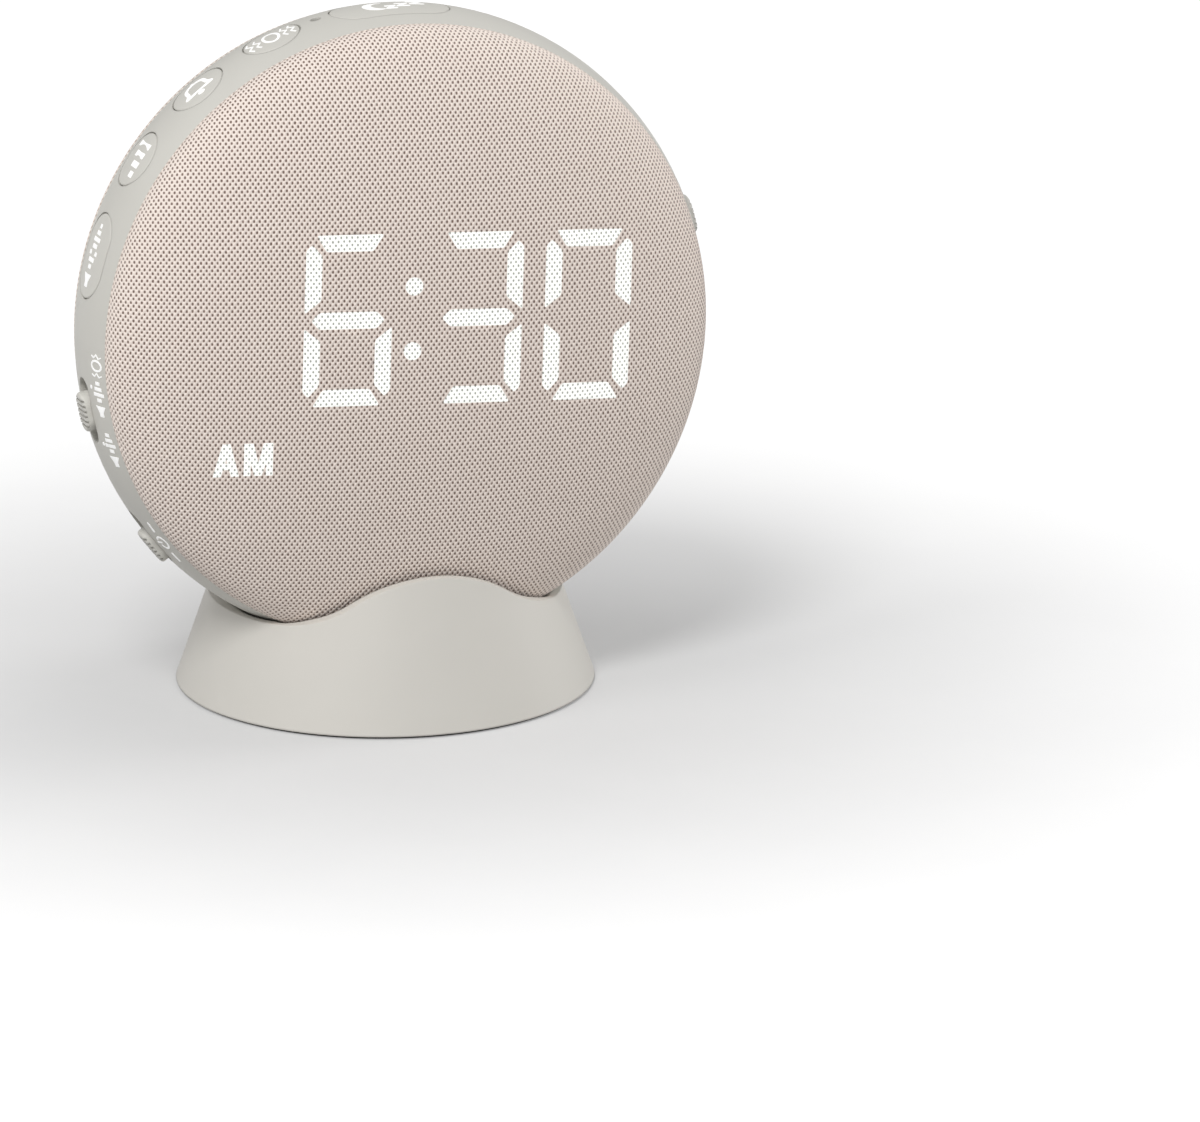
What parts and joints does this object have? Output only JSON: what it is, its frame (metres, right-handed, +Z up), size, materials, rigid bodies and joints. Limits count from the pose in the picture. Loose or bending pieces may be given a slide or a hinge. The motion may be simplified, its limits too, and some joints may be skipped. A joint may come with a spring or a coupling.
{
  "type": "vibrating alarm clock",
  "caption": "Round fabric-faced vibrating alarm clock with a lit digital display, rim buttons and slide switches, standing in a cone-shaped cradle that it lifts out of.",
  "frame": {"origin": "middle of the stand's flat foot, on the surface it stands on", "axes": "+Z up, -Y the way the display faces, +X to the right of someone looking at the display"},
  "size_m": [0.0986, 0.0642, 0.1062],
  "materials": {
    "stand_plastic": "smooth matt moulded plastic",
    "case_plastic": "smooth matt moulded plastic",
    "button_plastic": "smooth matt moulded plastic",
    "cover_fabric": "open woven speaker cloth",
    "inner_plastic": "moulded plastic",
    "foot_rubber": "soft matt",
    "board": "solder mask",
    "chip": "moulded epoxy",
    "switch_plastic": "moulded",
    "steel": "plated",
    "weight_metal": "sintered",
    "magnet": "ferrite",
    "cone_paper": "pressed paper",
    "surround_rubber": "soft matt",
    "cell_wrap": "foil wrap",
    "light_block": "opaque white",
    "light_guide": "translucent white, lit",
    "diode": "clear resin"
  },
  "bodies": {
    "stand": {"stand_shell": "stand_plastic", "stand_base_plate": "stand_plastic", "anti_slip_pad": "foot_rubber", "stand_screws": "steel"},
    "clock": {"rim_band": "case_plastic", "front_fabric": "cover_fabric", "front_shell": "inner_plastic", "rear_fabric": "cover_fabric", "rear_shell": "inner_plastic", "chassis": "inner_plastic", "chassis_screws": "steel", "main_board": "board", "board_chips": "chip", "board_screws": "steel", "switch_strip_left": "board", "switch_strip_right": "board", "key_switches": "switch_plastic", "slide_switch_bodies": "steel", "display_board": "board", "display_light_block": "light_block", "display_segments": "light_guide", "display_leds": "diode", "speaker_frame": "steel", "speaker_magnet": "magnet", "speaker_surround": "surround_rubber", "battery_cell": "cell_wrap", "vibration_motor": "steel", "motor_bracket": "inner_plastic", "charging_socket": "steel", "charging_board": "board"},
    "snooze_button": {"snooze_button": "button_plastic"},
    "vibration_button": {"vibration_button": "button_plastic"},
    "alarm_set_button": {"alarm_set_button": "button_plastic"},
    "alarm_volume_button": {"alarm_volume_button": "button_plastic"},
    "sound_button": {"sound_button": "button_plastic"},
    "time_up_button": {"time_up_button": "button_plastic"},
    "time_down_button": {"time_down_button": "button_plastic"},
    "time_set_button": {"time_set_button": "button_plastic"},
    "mode_knob": {"mode_knob": "button_plastic"},
    "power_knob": {"power_knob": "button_plastic"},
    "brightness_knob": {"brightness_knob": "button_plastic"},
    "speaker_cone": {"speaker_cone": "cone_paper"},
    "motor_rotor": {"motor_shaft": "steel", "eccentric_weight": "weight_metal"}
  },
  "joints": [
    {"name": "clock_lift", "type": "slide", "parent": "stand", "child": "clock", "axis": [0, 0, 1], "range_m": [0, 0.04]},
    {"name": "snooze_press", "type": "slide", "parent": "clock", "child": "snooze_button", "axis": [-0.0105, -0.0349, -0.9993], "range_m": [0, 0.0005], "stiffness_N_per_m": 400, "springref_m": -0.0005},
    {"name": "vibration_press", "type": "slide", "parent": "clock", "child": "vibration_button", "axis": [0.3714, -0.0324, -0.9279], "range_m": [0, 0.0005], "stiffness_N_per_m": 400, "springref_m": -0.0005},
    {"name": "alarm_set_press", "type": "slide", "parent": "clock", "child": "alarm_set_button", "axis": [0.6115, -0.0276, -0.7907], "range_m": [0, 0.0005], "stiffness_N_per_m": 400, "springref_m": -0.0005},
    {"name": "alarm_volume_press", "type": "slide", "parent": "clock", "child": "alarm_volume_button", "axis": [0.808, -0.0206, -0.5888], "range_m": [0, 0.0005], "stiffness_N_per_m": 400, "springref_m": -0.0005},
    {"name": "sound_press", "type": "slide", "parent": "clock", "child": "sound_button", "axis": [0.9542, -0.0104, -0.2989], "range_m": [0, 0.0005], "stiffness_N_per_m": 400, "springref_m": -0.0005},
    {"name": "time_up_press", "type": "slide", "parent": "clock", "child": "time_up_button", "axis": [-0.632, -0.027, -0.7745], "range_m": [0, 0.0005], "stiffness_N_per_m": 400, "springref_m": -0.0005},
    {"name": "time_down_press", "type": "slide", "parent": "clock", "child": "time_down_button", "axis": [-0.8161, -0.0202, -0.5775], "range_m": [0, 0.0005], "stiffness_N_per_m": 400, "springref_m": -0.0005},
    {"name": "time_set_press", "type": "slide", "parent": "clock", "child": "time_set_button", "axis": [-0.9986, 0.0018, 0.0523], "range_m": [0, 0.0005], "stiffness_N_per_m": 400, "springref_m": -0.0005},
    {"name": "mode_slide", "type": "slide", "parent": "clock", "child": "mode_knob", "axis": [0.1874, -0.0343, -0.9817], "range_m": [-0.0013, 0.0013]},
    {"name": "power_slide", "type": "slide", "parent": "clock", "child": "power_knob", "axis": [-0.606, 0.0278, 0.795], "range_m": [0, 0.0026]},
    {"name": "brightness_slide", "type": "slide", "parent": "clock", "child": "brightness_knob", "axis": [-0.2588, 0.0337, 0.9653], "range_m": [-0.0013, 0.0013]},
    {"name": "cone_stroke", "type": "slide", "parent": "clock", "child": "speaker_cone", "axis": [0, 0.9994, -0.0349], "range_m": [-0.0003, 0.0003], "stiffness_N_per_m": 600},
    {"name": "weight_spin", "type": "hinge", "parent": "clock", "child": "motor_rotor", "pos_m": [0.02099, 0.00447, 0.05617], "axis": [0.0349, 0.0349, 0.9988], "continuous": true}
  ]
}
